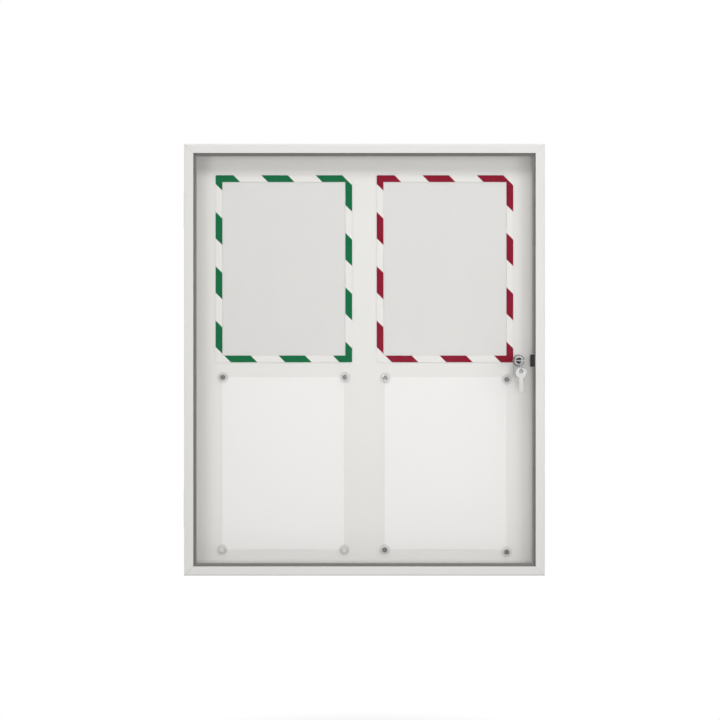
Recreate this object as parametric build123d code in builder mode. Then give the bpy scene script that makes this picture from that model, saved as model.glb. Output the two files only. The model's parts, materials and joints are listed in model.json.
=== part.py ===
from build123d import *
import os
from math import sqrt

# Wall-hung notice board display case with a glazed door, in millimetres.
# Frame: +X right, +Z up, +Y into the wall. The origin is the middle of the wall plane, so the
# front faces -Y. Sections are drawn in two coordinates: u runs inwards from the outer face of a
# side, and v runs from the wall towards the viewer.

# Case
case_width = 610.0
case_height = 730.0
case_depth = 26.0
profile_wall = 1.8
rear_flange = 24.0
front_flange = 9.0
case_edge_radius = 1.0
groove_lip_width = 8.0
groove_lip_wall = 1.4
channel_height = 12.6
channel_depth = 3.8
channel_lip = 1.6
bracket_leg = 38.0
mitre_gap = 0.15

# Back panel and its wall holes
panel_thickness = 1.0
panel_play = 0.2
panel_edge_play = 0.5
wall_hole_radius = 3.0
wall_hole_inset = 12.0
wall_hole_drop = 50.0

# Door
door_depth = 14.0
door_face_width = 16.0
door_edge_radius = 3.5
door_inner_radius = 0.8
groove_depth = 4.6
web_wall = 1.6
key_leg = 34.0
fit_play = 0.2

# Glazing
pane_thickness = 3.0
gasket_leg = 1.5
gasket_base = 1.0
gasket_reach = 4.5

# Hinges
hinge_drop = 112.0
hinge_length = 62.0
hinge_knuckles = 5
knuckle_gap = 0.3
barrel_radius = 2.5
pin_radius = 1.25
leaf_thickness = 1.2
leaf_gap = 0.6
leaf_width = 8.6
relief_play = 0.4
running_play = 0.05
hinge_screw_spacing = 22.0
hinge_screw_count = 3
hinge_screw_radius = 1.3
hinge_screw_head_radius = 2.3
hinge_screw_inset = 5.6

# Dust seal between case and door
seal_inset = 2.6
seal_width = 4.0
seal_play = 0.2
seal_hinge_gap = 2.0

# Cam lock
lock_inset = 44.0
lock_height = -1.5
lock_flange_radius = 8.2
lock_flange_thickness = 2.2
lock_flange_chamfer = 0.7
barrel_thread_radius = 6.5
plug_radius = 5.0
nut_width = 17.0
nut_thickness = 4.0
washer_radius = 10.0
washer_thickness = 1.0
cam_width = 12.0
cam_length = 29.0
cam_thickness = 2.0
cam_square = 6.0
cam_play = 0.4
cam_screw_radius = 1.9
cam_screw_length = 3.8
cam_screw_head_radius = 4.0
cam_screw_head = 2.4

# Catch
catch_length = 21.0
catch_reach = 22.0
catch_arm = 3.4
catch_tip_width = 9.0
catch_tip_front = 31.0
catch_tip_chamfer = 1.2
catch_gasket_gap = 0.8
catch_screw_radius = 2.0
catch_screw_socket = 2.0
catch_screw_recess = 0.6
catch_screw_socket_depth = 2.5

# Keys and ring
key_thickness = 2.0
key_blade_width = 6.8
key_blade_length = 19.0
key_neck = 5.0
key_bow_radius = 9.25
key_hole_radius = 3.5
key_rim = 3.0
key_tip_chamfer = 1.6
key_cut_depths = (0.7, 1.3, 0.5, 1.1)
key_cut_spacing = 4.0
key_play = 0.15
ring_radius = 9.0
ring_wire_radius = 0.8
ring_lead = 0.1
ring_play = 0.3

# Notices: a row of striped frames over a row of plain sheets, between the rails of the door
notice_top_margin = 31.4
notice_row_gap = 25.8
notice_bottom_margin = 21.8
sheet_width = 210.0
sheet_spacing = 279.8
sheet_thickness = 0.3
frame_sheet_width = 235.0
frame_sheet_spacing = 277.4
frame_sheet_overhang = 12.5
frame_band = 11.5
frame_corner_radius = 2.0
backing_thickness = 0.4
window_thickness = 0.3
border_thickness = 0.8

# Magnets, each laid by hand near one corner of a sheet
magnet_radius = 9.0
magnet_height = 7.0
magnet_taper = 6.0
magnet_top_fillet = 1.2
core_radius = 4.0
core_height = 5.0
core_play = 0.05
magnet_slip = 1.2
magnet_drop = 3.6

# Depths along v that follow from the sizes above
door_gap = 2 * leaf_thickness + leaf_gap
hinge_axis_v = case_depth + door_gap / 2
door_back = case_depth + door_gap
door_front = door_back + door_depth
groove_front = door_front - profile_wall
pane_front = groove_front - gasket_leg
pane_back = pane_front - pane_thickness
groove_back = pane_back - gasket_leg
panel_front = profile_wall + panel_thickness
channel_front = case_depth - profile_wall
channel_back = channel_front - channel_height
catch_neck_front = channel_front - channel_lip - fit_play
catch_neck_back = channel_back + channel_lip + fit_play
cam_front = catch_neck_front - catch_arm - cam_play
cam_back = cam_front - cam_thickness
barrel_end = cam_front + cam_play
lock_face = pane_front + lock_flange_thickness

# Places across the front that follow from the sizes above
half_width = case_width / 2
half_height = case_height / 2
lock_x = half_width - lock_inset
web_inner = door_face_width - groove_depth
chamber_inner = web_inner - web_wall
channel_inner = profile_wall + channel_depth
channel_lip_inner = channel_inner + channel_lip
relief_radius = barrel_radius + relief_play
knuckle_pitch = hinge_length / hinge_knuckles
hinge_height = half_height - hinge_drop
hinge_heights = {"upper": hinge_height, "lower": -hinge_height}

# The two rows of notices share the height that the margins leave
opening_half_height = half_height - door_face_width
row_height = (
    opening_half_height - (notice_top_margin + notice_row_gap + notice_bottom_margin) / 2
)
frame_sheet_height = row_height + frame_sheet_overhang
frame_sheet_centre = opening_half_height - notice_top_margin - frame_sheet_height / 2
frame_sheet_columns = {"green": -frame_sheet_spacing / 2, "red": frame_sheet_spacing / 2}
sheet_height = row_height - frame_sheet_overhang
sheet_centre = notice_bottom_margin + sheet_height / 2 - opening_half_height
sheet_columns = {"left": -sheet_spacing / 2, "right": sheet_spacing / 2}

# How far each magnet lies from the corner of its sheet, by column and by side of the sheet
dark_magnet_shifts = {
    ("left", -1, 1): (magnet_slip, 0),
    ("left", 1, 1): (magnet_slip, 0),
    ("right", -1, 1): (magnet_slip, -magnet_slip),
    ("right", 1, 1): (0, -magnet_drop),
    ("right", -1, -1): (0, 0),
    ("right", 1, -1): (0, -magnet_drop),
}
bright_magnet_shifts = {
    ("left", -1, -1): (0, 0),
    ("left", 1, -1): (0, 0),
}

# The key in the lock and the ring through its bow
key_hole_offset = key_hole_radius + key_rim
key_bow_length = 2 * key_bow_radius - key_hole_offset
key_hole_v = lock_face + key_neck + key_bow_length
ring_v = key_hole_v + key_hole_offset + ring_lead
ring_inner_radius = ring_radius - ring_wire_radius
ring_z = (
    lock_height
    + key_thickness / 2
    + ring_play
    - sqrt(ring_inner_radius**2 - (key_rim + ring_lead) ** 2)
)
spare_hole_z = ring_z - ring_radius + ring_wire_radius + ring_play - key_hole_radius

os.makedirs("parts", exist_ok=True)

toward_viewer = Vector(0, -1, 0)
side_middles = {
    "left": Vector(-half_width, 0, 0),
    "right": Vector(half_width, 0, 0),
    "top": Vector(0, 0, half_height),
    "bottom": Vector(0, 0, -half_height),
}
side_lengths = {
    "left": case_height,
    "right": case_height,
    "top": case_width,
    "bottom": case_width,
}


def write(piece, label):
    """Label a finished piece and write its file."""
    piece.part.label = label
    export_step(piece.part, f"parts/{label}.step")


def front_plane(v, x=0.0, z=0.0):
    """Plane parallel to the wall at depth v, seen from the front: x right, y up."""
    return Plane(origin=(x, -v, z), x_dir=(1, 0, 0), z_dir=(0, -1, 0))


def rear_plane(v):
    """Plane parallel to the wall at depth v, seen from the wall: x left, y up."""
    return Plane(origin=(0, -v, 0), x_dir=(-1, 0, 0), z_dir=(0, 1, 0))


def section_plane(side):
    """Plane across one side of the case, with x as u and y as v."""
    inward = side_middles[side].normalized() * -1
    return Plane(
        origin=side_middles[side], x_dir=inward, z_dir=inward.cross(toward_viewer)
    )


def strip(u0, v0, u1, v1, mode=Mode.ADD):
    """Rectangle of a section between two corners."""
    with Locations((u0, v0)):
        Rectangle(u1 - u0, v1 - v0, align=(Align.MIN, Align.MIN), mode=mode)


def mitred_bar(side, section):
    """Bar of one section along a side, with both ends cut to 45 degrees and a hairline apart."""
    across = section_plane(side)
    half_length = side_lengths[side] / 2
    with BuildPart() as bar:
        with BuildSketch(across):
            add(section)
        extrude(amount=half_length, both=True)
        for end in (1, -1):
            corner = across.origin + across.z_dir * (end * half_length)
            outward = across.x_dir + across.z_dir * end
            mitre = Plane(origin=corner, z_dir=outward)
            split(bisect_by=mitre.offset(-mitre_gap / 2), keep=Keep.BOTTOM)
    return bar.part


def corner_angles(leg, u0, u1, v0, v1):
    """Four angles in the corners of a frame, filling u0 to u1 of both sides over v0 to v1."""
    with BuildPart() as angles:
        with BuildSketch(front_plane(v0)):
            for x_sign in (1, -1):
                for z_sign in (1, -1):
                    x_outer = x_sign * (half_width - u0)
                    z_outer = z_sign * (half_height - u0)
                    with Locations((x_outer - x_sign * leg / 2, z_outer - z_sign * (u1 - u0) / 2)):
                        Rectangle(leg, u1 - u0)
                    with Locations((x_outer - x_sign * (u1 - u0) / 2, z_outer - z_sign * leg / 2)):
                        Rectangle(u1 - u0, leg)
        extrude(amount=v1 - v0)
    return angles


# Case profiles
with BuildSketch() as case_section:
    strip(0, 0, profile_wall, case_depth)
    strip(0, 0, rear_flange, profile_wall)
    strip(0, channel_front, front_flange, case_depth)
    strip(
        profile_wall,
        panel_front + panel_play,
        groove_lip_width,
        panel_front + panel_play + groove_lip_wall,
    )
    strip(profile_wall, channel_back - channel_lip, channel_lip_inner, channel_back)
    strip(channel_inner, channel_back, channel_lip_inner, channel_back + channel_lip)
    strip(channel_inner, channel_front - channel_lip, channel_lip_inner, channel_front)
    fillet(case_section.vertices().group_by(Axis.X)[0].sort_by(Axis.Y)[0], case_edge_radius)


# Wall holes through the rear flange and the back panel
with BuildSketch(front_plane(0)) as wall_holes:
    with GridLocations(
        2 * (half_width - wall_hole_inset), 2 * (half_height - wall_hole_drop), 2, 2
    ):
        Circle(wall_hole_radius)

# Rounded recess in the left-hand profiles for the hinge barrels
with BuildPart() as hinge_relief:
    for height in hinge_heights.values():
        with BuildSketch(section_plane("left").offset(-height)):
            with Locations((0, hinge_axis_v)):
                Circle(relief_radius)
        extrude(amount=hinge_length / 2 + relief_play, both=True)


def screw_places(x_sign):
    """Hinge screw centres on a plane parallel to the wall."""
    x = x_sign * (hinge_screw_inset - half_width)
    middle = (hinge_screw_count - 1) / 2
    return [
        (x, height + (i - middle) * hinge_screw_spacing)
        for height in hinge_heights.values()
        for i in range(hinge_screw_count)
    ]


with BuildSketch(front_plane(case_depth)) as case_screw_holes:
    with Locations(*screw_places(1)):
        Circle(hinge_screw_radius + running_play)

with BuildSketch(rear_plane(door_back)) as door_screw_holes:
    with Locations(*screw_places(-1)):
        Circle(hinge_screw_radius + running_play)

for side in side_middles:
    with BuildPart() as case_rail:
        add(mitred_bar(side, case_section.sketch))
        extrude(wall_holes.sketch, amount=profile_wall, mode=Mode.SUBTRACT)
        if side == "left":
            add(hinge_relief.part, mode=Mode.SUBTRACT)
            extrude(case_screw_holes.sketch, amount=-profile_wall, mode=Mode.SUBTRACT)
    write(case_rail, f"case_frame_{side}")

case_brackets = corner_angles(
    bracket_leg,
    profile_wall,
    channel_inner - fit_play,
    channel_back + fit_play,
    channel_front - fit_play,
)
write(case_brackets, "case_corner_brackets")

# Back panel, held between the rear flange and the groove lip
with BuildPart() as back_panel:
    with BuildSketch(front_plane(profile_wall)):
        Rectangle(
            case_width - 2 * (profile_wall + panel_edge_play),
            case_height - 2 * (profile_wall + panel_edge_play),
        )
    extrude(amount=panel_thickness)
    extrude(wall_holes.sketch, amount=panel_front, mode=Mode.SUBTRACT)
write(back_panel, "back_panel")

# Dust seal on the front flange, with gaps at the hinges
with BuildSketch() as seal_section:
    strip(seal_inset, case_depth, seal_inset + seal_width, door_back - seal_play)

for side in side_middles:
    with BuildPart() as seal:
        add(mitred_bar(side, seal_section.sketch))
        if side == "left":
            for height in hinge_heights.values():
                with BuildSketch(section_plane("left").offset(-height)):
                    strip(0, case_depth, front_flange, door_back)
                extrude(
                    amount=hinge_length / 2 + seal_hinge_gap, both=True, mode=Mode.SUBTRACT
                )
    write(seal, f"dust_seal_{side}")

# Catch, clipped into the channel of the right-hand profile
catch_plane = section_plane("right").offset(lock_height)
catch_screw_v = (catch_neck_back + catch_neck_front - catch_arm) / 2
catch_screw_plane = Plane(
    origin=(half_width - profile_wall, -catch_screw_v, lock_height),
    x_dir=(0, 1, 0),
    z_dir=(-1, 0, 0),
)
catch_foot_front = channel_inner - fit_play
catch_neck_inner = channel_lip_inner + fit_play
catch_tip_outer = catch_reach - catch_tip_width

with BuildPart() as lock_catch:
    with BuildSketch(catch_plane):
        strip(
            profile_wall,
            channel_back + fit_play,
            catch_foot_front,
            channel_front - fit_play,
        )
        strip(catch_foot_front, catch_neck_back, catch_neck_inner, catch_neck_front)
        strip(catch_neck_inner, catch_neck_front - catch_arm, catch_reach, catch_neck_front)
        strip(catch_tip_outer, catch_neck_front, catch_reach, catch_tip_front)
    extrude(amount=catch_length / 2, both=True)
    chamfer(lock_catch.faces().sort_by(Axis.Y)[0].edges(), catch_tip_chamfer)
    with BuildSketch(catch_screw_plane):
        Circle(catch_screw_radius + running_play)
    extrude(amount=catch_neck_inner - profile_wall, mode=Mode.SUBTRACT)
write(lock_catch, "lock_catch")

with BuildPart() as catch_screw:
    with BuildSketch(catch_screw_plane):
        Circle(catch_screw_radius)
    extrude(amount=catch_neck_inner - profile_wall - catch_screw_recess)
    with BuildSketch(Plane(catch_screw.faces().sort_by(Axis.X)[0])):
        RegularPolygon(catch_screw_socket / 2, 6, major_radius=False)
    extrude(amount=-catch_screw_socket_depth, mode=Mode.SUBTRACT)
write(catch_screw, "catch_screw")

# Striped magnetic sheet frames: backing, clear window and border, one on another
window_back = panel_front + backing_thickness
border_back = window_back + window_thickness
for colour, x in frame_sheet_columns.items():
    with BuildPart() as backing:
        with BuildSketch(front_plane(panel_front, x, frame_sheet_centre)):
            RectangleRounded(frame_sheet_width, frame_sheet_height, frame_corner_radius)
        extrude(amount=backing_thickness)
    write(backing, f"{colour}_frame_backing")

    with BuildPart() as window:
        with BuildSketch(front_plane(window_back, x, frame_sheet_centre)):
            RectangleRounded(frame_sheet_width, frame_sheet_height, frame_corner_radius)
        extrude(amount=window_thickness)
    write(window, f"{colour}_frame_window")

    with BuildPart() as border:
        with BuildSketch(front_plane(border_back, x, frame_sheet_centre)):
            RectangleRounded(frame_sheet_width, frame_sheet_height, frame_corner_radius)
            Rectangle(
                frame_sheet_width - 2 * frame_band,
                frame_sheet_height - 2 * frame_band,
                mode=Mode.SUBTRACT,
            )
        extrude(amount=border_thickness)
    write(border, f"{colour}_frame_border")

# Plain notice sheets
for column, x in sheet_columns.items():
    with BuildPart() as notice:
        with BuildSketch(front_plane(panel_front, x, sheet_centre)):
            Rectangle(sheet_width, sheet_height)
        extrude(amount=sheet_thickness)
    write(notice, f"{column}_notice_sheet")

# Clear magnets and their cores
magnet_back = panel_front + sheet_thickness


def magnet_places(shifts):
    """Magnet centres: the corner of the sheet plus the shift each one was laid with."""
    return [
        (
            sheet_columns[column] + x_sign * sheet_width / 2 + shift[0],
            sheet_centre + z_sign * sheet_height / 2 + shift[1],
        )
        for (column, x_sign, z_sign), shift in shifts.items()
    ]


with BuildPart() as clear_magnets:
    with BuildSketch(front_plane(magnet_back)):
        with Locations(*magnet_places(dark_magnet_shifts | bright_magnet_shifts)):
            Circle(magnet_radius)
    extrude(amount=magnet_height, taper=magnet_taper)
    fillet(clear_magnets.edges().group_by(Axis.Y)[0], magnet_top_fillet)
    with BuildSketch(front_plane(magnet_back)):
        with Locations(*magnet_places(dark_magnet_shifts | bright_magnet_shifts)):
            Circle(core_radius + core_play)
    extrude(amount=core_height + core_play, mode=Mode.SUBTRACT)
write(clear_magnets, "clear_magnets")

for label, shifts in (
    ("dark_magnet_cores", dark_magnet_shifts),
    ("bright_magnet_cores", bright_magnet_shifts),
):
    with BuildPart() as cores:
        with BuildSketch(front_plane(magnet_back)):
            with Locations(*magnet_places(shifts)):
                Circle(core_radius)
        extrude(amount=core_height)
    write(cores, label)

# Door profiles: a hollow chamber for the corner keys and a groove for the pane
with BuildSketch() as door_section:
    strip(0, door_back, web_inner, door_front)
    strip(0, groove_front, door_face_width, door_front)
    strip(web_inner, groove_back - web_wall, door_face_width, groove_back)
    strip(
        profile_wall,
        door_back + profile_wall,
        chamber_inner,
        groove_front,
        mode=Mode.SUBTRACT,
    )
    front_corners = door_section.vertices().group_by(Axis.Y)[-1].sort_by(Axis.X)
    fillet(front_corners[0], door_edge_radius)
    fillet(front_corners[-1], door_inner_radius)

for side in side_middles:
    with BuildPart() as door_rail:
        add(mitred_bar(side, door_section.sketch))
        if side == "left":
            add(hinge_relief.part, mode=Mode.SUBTRACT)
            extrude(door_screw_holes.sketch, amount=-profile_wall, mode=Mode.SUBTRACT)
    write(door_rail, f"door_frame_{side}")

door_keys = corner_angles(
    key_leg,
    profile_wall + fit_play,
    chamber_inner - fit_play,
    door_back + profile_wall,
    groove_front - fit_play,
)
write(door_keys, "door_corner_keys")

# Pane and its gasket, whose rear leg shows through the pane as a dark line
pane_inset = web_inner + gasket_base + fit_play
with BuildPart() as pane:
    with BuildSketch(front_plane(pane_back)):
        Rectangle(case_width - 2 * pane_inset, case_height - 2 * pane_inset)
        with Locations((lock_x, lock_height)):
            Circle(barrel_thread_radius + fit_play, mode=Mode.SUBTRACT)
    extrude(amount=pane_thickness)
write(pane, "pane")

with BuildSketch() as gasket_section:
    strip(web_inner, groove_back, web_inner + gasket_base, groove_front)
    strip(web_inner, pane_front, door_face_width, groove_front)
    strip(web_inner, groove_back, door_face_width + gasket_reach, pane_back)

for side in side_middles:
    with BuildPart() as gasket:
        add(mitred_bar(side, gasket_section.sketch))
        if side == "right":
            with BuildSketch(catch_plane):
                strip(door_face_width, groove_back, door_face_width + gasket_reach, pane_back)
            extrude(
                amount=catch_length / 2 + catch_gasket_gap, both=True, mode=Mode.SUBTRACT
            )
    write(gasket, f"pane_gasket_{side}")

# Butt hinges: knuckles of the two leaves take turns on one pin
hinge_leaves = {"case": (case_depth, 0), "door": (door_back - leaf_thickness, 1)}
for place, height in hinge_heights.items():
    for body, (leaf_back, first_knuckle) in hinge_leaves.items():
        with BuildPart() as leaf:
            with BuildSketch(section_plane("left").offset(-height)):
                strip(relief_radius, leaf_back, leaf_width, leaf_back + leaf_thickness)
            extrude(amount=hinge_length / 2, both=True)
            for i in range(first_knuckle, hinge_knuckles, 2):
                knuckle_z = height + (i + 0.5) * knuckle_pitch - hinge_length / 2
                with BuildSketch(section_plane("left").offset(-knuckle_z)):
                    with Locations((0, hinge_axis_v)):
                        Circle(barrel_radius)
                    strip(0, leaf_back, relief_radius, leaf_back + leaf_thickness)
                    with Locations((0, hinge_axis_v)):
                        Circle(pin_radius + running_play, mode=Mode.SUBTRACT)
                extrude(amount=(knuckle_pitch - knuckle_gap) / 2, both=True)
            if body == "case":
                head_plane = front_plane(leaf_back + leaf_thickness)
                places = screw_places(1)
            else:
                head_plane = rear_plane(leaf_back)
                places = screw_places(-1)
            with Locations(head_plane):
                with Locations(*[at for at in places if at[1] * height > 0]):
                    CounterSinkHole(
                        hinge_screw_radius + running_play,
                        hinge_screw_head_radius + running_play,
                        leaf_thickness,
                        counter_sink_angle=90,
                    )
        write(leaf, f"{place}_hinge_{body}_leaf")

    with BuildPart() as pin:
        with BuildSketch(section_plane("left").offset(-height)):
            with Locations((0, hinge_axis_v)):
                Circle(pin_radius)
        extrude(amount=hinge_length / 2, both=True)
    write(pin, f"{place}_hinge_pin")

screw_cone = hinge_screw_head_radius - hinge_screw_radius
screw_length = leaf_thickness + profile_wall - running_play
for label, head_plane, x_sign in (
    ("hinge_case_screws", front_plane(case_depth + leaf_thickness), 1),
    ("hinge_door_screws", rear_plane(door_back - leaf_thickness), -1),
):
    with BuildPart() as screws:
        with Locations(head_plane):
            with Locations(*screw_places(x_sign)):
                Cone(
                    hinge_screw_radius,
                    hinge_screw_head_radius,
                    screw_cone,
                    align=(Align.CENTER, Align.CENTER, Align.MAX),
                )
                Cylinder(
                    hinge_screw_radius,
                    screw_length,
                    align=(Align.CENTER, Align.CENTER, Align.MAX),
                )
    write(screws, label)

# Cam lock: the fixed housing clamps the pane with a washer and a nut
with BuildPart() as lock_housing:
    with BuildSketch(front_plane(barrel_end, lock_x, lock_height)):
        Circle(barrel_thread_radius)
    extrude(amount=pane_front - barrel_end)
    with BuildSketch(front_plane(pane_front, lock_x, lock_height)):
        Circle(lock_flange_radius)
    extrude(amount=lock_flange_thickness)
    chamfer(
        lock_housing.faces().sort_by(Axis.Y)[0].edges().sort_by(SortBy.RADIUS)[-1],
        lock_flange_chamfer,
    )
    with BuildSketch(front_plane(barrel_end, lock_x, lock_height)):
        Circle(plug_radius + running_play)
    extrude(amount=lock_face - barrel_end, mode=Mode.SUBTRACT)
write(lock_housing, "lock_housing")

with BuildPart() as lock_washer:
    with BuildSketch(front_plane(pane_back - washer_thickness, lock_x, lock_height)):
        Circle(washer_radius)
        Circle(barrel_thread_radius + running_play, mode=Mode.SUBTRACT)
    extrude(amount=washer_thickness)
write(lock_washer, "lock_washer")

nut_back = pane_back - washer_thickness - nut_thickness
with BuildPart() as lock_nut:
    with BuildSketch(front_plane(nut_back, lock_x, lock_height)):
        RegularPolygon(nut_width / 2, 6, major_radius=False)
        Circle(barrel_thread_radius + running_play, mode=Mode.SUBTRACT)
    extrude(amount=nut_thickness)
write(lock_nut, "lock_nut")

# The plug turns in the housing, with a keyway in front and a square end for the cam
with BuildPart() as lock_plug:
    with BuildSketch(front_plane(cam_front, lock_x, lock_height)):
        Circle(plug_radius)
    extrude(amount=lock_face - cam_front)
    with BuildSketch(front_plane(cam_front, lock_x, lock_height)):
        Rectangle(cam_square, cam_square)
    extrude(amount=-cam_thickness + running_play)
    with BuildSketch(front_plane(lock_face, lock_x, lock_height)):
        Rectangle(key_blade_width + 2 * key_play, key_thickness + 2 * key_play)
    extrude(amount=-key_blade_length - key_play, mode=Mode.SUBTRACT)
    with BuildSketch(front_plane(cam_back, lock_x, lock_height)):
        Circle(cam_screw_radius + running_play)
    extrude(amount=cam_screw_length + running_play, mode=Mode.SUBTRACT)
write(lock_plug, "lock_plug")

with BuildPart() as lock_cam:
    with BuildSketch(front_plane(cam_back, lock_x, lock_height)):
        Circle(cam_width / 2)
        Rectangle(cam_width, cam_length, align=(Align.CENTER, Align.MAX))
        Rectangle(cam_square + 2 * running_play, cam_square + 2 * running_play, mode=Mode.SUBTRACT)
    extrude(amount=cam_thickness)
    fillet(lock_cam.edges().filter_by(Axis.Y).group_by(Axis.Z)[0], cam_width / 4)
write(lock_cam, "lock_cam")

with BuildPart() as cam_screw:
    with BuildSketch(front_plane(cam_back, lock_x, lock_height)):
        Circle(cam_screw_head_radius)
    extrude(amount=-cam_screw_head)
    fillet(cam_screw.edges().group_by(Axis.Y)[-1], cam_screw_head / 2)
    with BuildSketch(front_plane(cam_back, lock_x, lock_height)):
        Circle(cam_screw_radius)
    extrude(amount=cam_screw_length)
write(cam_screw, "cam_screw")


def cut_key(plane):
    """Key lying in a plane: the bow's hole at the origin and the blade along +x."""
    shoulder = key_bow_length + key_neck
    with BuildPart() as blank:
        with BuildSketch(plane) as outline:
            with Locations((key_bow_length - key_bow_radius, 0)):
                Circle(key_bow_radius)
            with Locations((key_bow_length - key_neck, 0)):
                Rectangle(
                    2 * key_neck + key_blade_length,
                    key_blade_width,
                    align=(Align.MIN, Align.CENTER),
                )
            chamfer(outline.vertices().group_by(Axis.X)[-1], key_tip_chamfer)
            Circle(key_hole_radius, mode=Mode.SUBTRACT)
            for i, depth in enumerate(key_cut_depths):
                with Locations((shoulder + (i + 0.5) * key_cut_spacing, key_blade_width / 2)):
                    Rectangle(
                        depth * sqrt(2), depth * sqrt(2), rotation=45, mode=Mode.SUBTRACT
                    )
        extrude(amount=key_thickness / 2, both=True)
    return blank


key_plane = Plane(
    origin=(lock_x, -key_hole_v, lock_height), x_dir=(0, 1, 0), z_dir=(0, 0, 1)
)
key = cut_key(key_plane)
write(key, "key")

with BuildPart() as key_ring:
    with Locations(Plane(origin=(lock_x, -ring_v, ring_z), z_dir=(1, 0, 0))):
        Torus(ring_radius, ring_wire_radius)
write(key_ring, "key_ring")

spare_plane = Plane(
    origin=(lock_x, -ring_v, spare_hole_z), x_dir=(0, 0, -1), z_dir=(0, -1, 0)
)
spare_key = cut_key(spare_plane)
write(spare_key, "spare_key")
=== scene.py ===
"""Looks of a wall-hung notice board display case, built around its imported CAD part.

Everything is in metres and in the part's own frame: +X right, +Z up, +Y into the wall, so the
front faces -Y. The CAD nodes keep their shapes and get finishes, and pieces that need finer
forms, such as the paper, the magnets and the keys, are modelled here and stand for their nodes.
"""

import json
import logging
import math
from dataclasses import dataclass
from enum import Enum

import bmesh
import bpy
from mathutils import Matrix, Vector


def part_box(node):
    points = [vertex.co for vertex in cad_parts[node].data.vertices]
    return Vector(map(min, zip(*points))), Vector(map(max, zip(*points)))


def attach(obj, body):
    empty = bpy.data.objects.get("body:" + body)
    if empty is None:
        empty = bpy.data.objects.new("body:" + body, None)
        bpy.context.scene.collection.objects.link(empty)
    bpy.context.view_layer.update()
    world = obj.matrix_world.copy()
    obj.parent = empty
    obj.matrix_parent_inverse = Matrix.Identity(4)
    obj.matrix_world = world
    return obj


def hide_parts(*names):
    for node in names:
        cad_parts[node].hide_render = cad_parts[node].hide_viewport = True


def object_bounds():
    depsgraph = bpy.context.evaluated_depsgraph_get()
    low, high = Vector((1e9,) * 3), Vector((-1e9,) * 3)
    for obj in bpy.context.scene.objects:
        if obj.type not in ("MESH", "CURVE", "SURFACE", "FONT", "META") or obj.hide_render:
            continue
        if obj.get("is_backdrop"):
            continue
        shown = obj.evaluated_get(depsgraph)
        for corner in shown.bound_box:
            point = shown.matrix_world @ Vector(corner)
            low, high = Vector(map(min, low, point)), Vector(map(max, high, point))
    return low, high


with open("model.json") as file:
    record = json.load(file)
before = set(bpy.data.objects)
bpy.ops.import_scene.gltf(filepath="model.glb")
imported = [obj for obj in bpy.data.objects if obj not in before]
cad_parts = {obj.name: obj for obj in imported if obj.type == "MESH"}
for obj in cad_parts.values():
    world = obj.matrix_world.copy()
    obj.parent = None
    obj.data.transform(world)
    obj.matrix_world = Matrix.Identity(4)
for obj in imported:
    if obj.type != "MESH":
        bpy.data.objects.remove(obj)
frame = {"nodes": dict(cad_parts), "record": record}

LOG = logging.getLogger("notice_case")
MM = 0.001
MERGE_DISTANCE = 0.001 * MM
FLAT_ANGLE = math.radians(1)
SHARP_ANGLE = math.radians(40)

Triple = tuple[float, float, float]
Colour = Triple
Pieces = list[bpy.types.Object]


class Slot(str, Enum):
    """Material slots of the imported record."""

    POWDER_COAT = "powder_coat"
    MILL_ALUMINIUM = "mill_aluminium"
    PANEL_ENAMEL = "panel_enamel"
    SEAL_FOAM = "seal_foam"
    GASKET_RUBBER = "gasket_rubber"
    PANE_ACRYLIC = "pane_acrylic"
    HINGE_GREY = "hinge_grey"
    PLATED_STEEL = "plated_steel"
    LOCK_CHROME = "lock_chrome"
    KEY_NICKEL = "key_nickel"
    BLACK_PLASTIC = "black_plastic"
    PAPER = "paper"
    GREEN_STRIPE = "green_stripe"
    RED_STRIPE = "red_stripe"
    WINDOW_FILM = "window_film"
    BACKING_SHEET = "backing_sheet"
    MAGNET_ACRYLIC = "magnet_acrylic"
    DARK_CORE = "dark_core"
    BRIGHT_CORE = "bright_core"


class Body(str, Enum):
    """Moving bodies of the part."""

    CASE = "case"
    DOOR = "door"
    LOCK_PLUG = "lock_plug"
    KEY = "key"
    KEY_RING = "key_ring"
    SPARE_KEY = "spare_key"


def from_screen(red: int, green: int, blue: int) -> Colour:
    """Turn a screen colour into the linear one that shaders use.

    Args:
        red: Red level from 0 to 255.
        green: Green level from 0 to 255.
        blue: Blue level from 0 to 255.

    Returns:
        The linear colour.
    """

    def linear(level: int) -> float:
        """Undo the screen's transfer curve for one level."""
        share = level / 255
        return share / 12.92 if share <= 0.04045 else ((share + 0.055) / 1.055) ** 2.4

    return linear(red), linear(green), linear(blue)


class Value:
    """A number socket that takes part in Python arithmetic by adding Math nodes."""

    def __init__(self, graph: "Graph", socket: bpy.types.NodeSocket) -> None:
        """Wrap one socket of a graph."""
        self.graph = graph
        self.socket = socket

    def __add__(self, other: "Value | float") -> "Value":
        """Sum with a value on the right."""
        return self.graph.math("ADD", self, other)

    def __radd__(self, other: float) -> "Value":
        """Sum with a number on the left."""
        return self.graph.math("ADD", other, self)

    def __sub__(self, other: "Value | float") -> "Value":
        """Difference with a value on the right."""
        return self.graph.math("SUBTRACT", self, other)

    def __rsub__(self, other: float) -> "Value":
        """Difference with a number on the left."""
        return self.graph.math("SUBTRACT", other, self)

    def __mul__(self, other: "Value | float") -> "Value":
        """Product with a value on the right."""
        return self.graph.math("MULTIPLY", self, other)

    def __rmul__(self, other: float) -> "Value":
        """Product with a number on the left."""
        return self.graph.math("MULTIPLY", other, self)

    def __truediv__(self, other: "Value | float") -> "Value":
        """Quotient with a value on the right."""
        return self.graph.math("DIVIDE", self, other)

    def __pow__(self, other: float) -> "Value":
        """Power with a number on the right."""
        return self.graph.math("POWER", self, other)

    def __abs__(self) -> "Value":
        """Size without the sign."""
        return self.graph.math("ABSOLUTE", self)

    def within(self) -> "Value":
        """The value held between 0 and 1."""
        return self.graph.math("ADD", self, 0.0, clamp=True)


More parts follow.
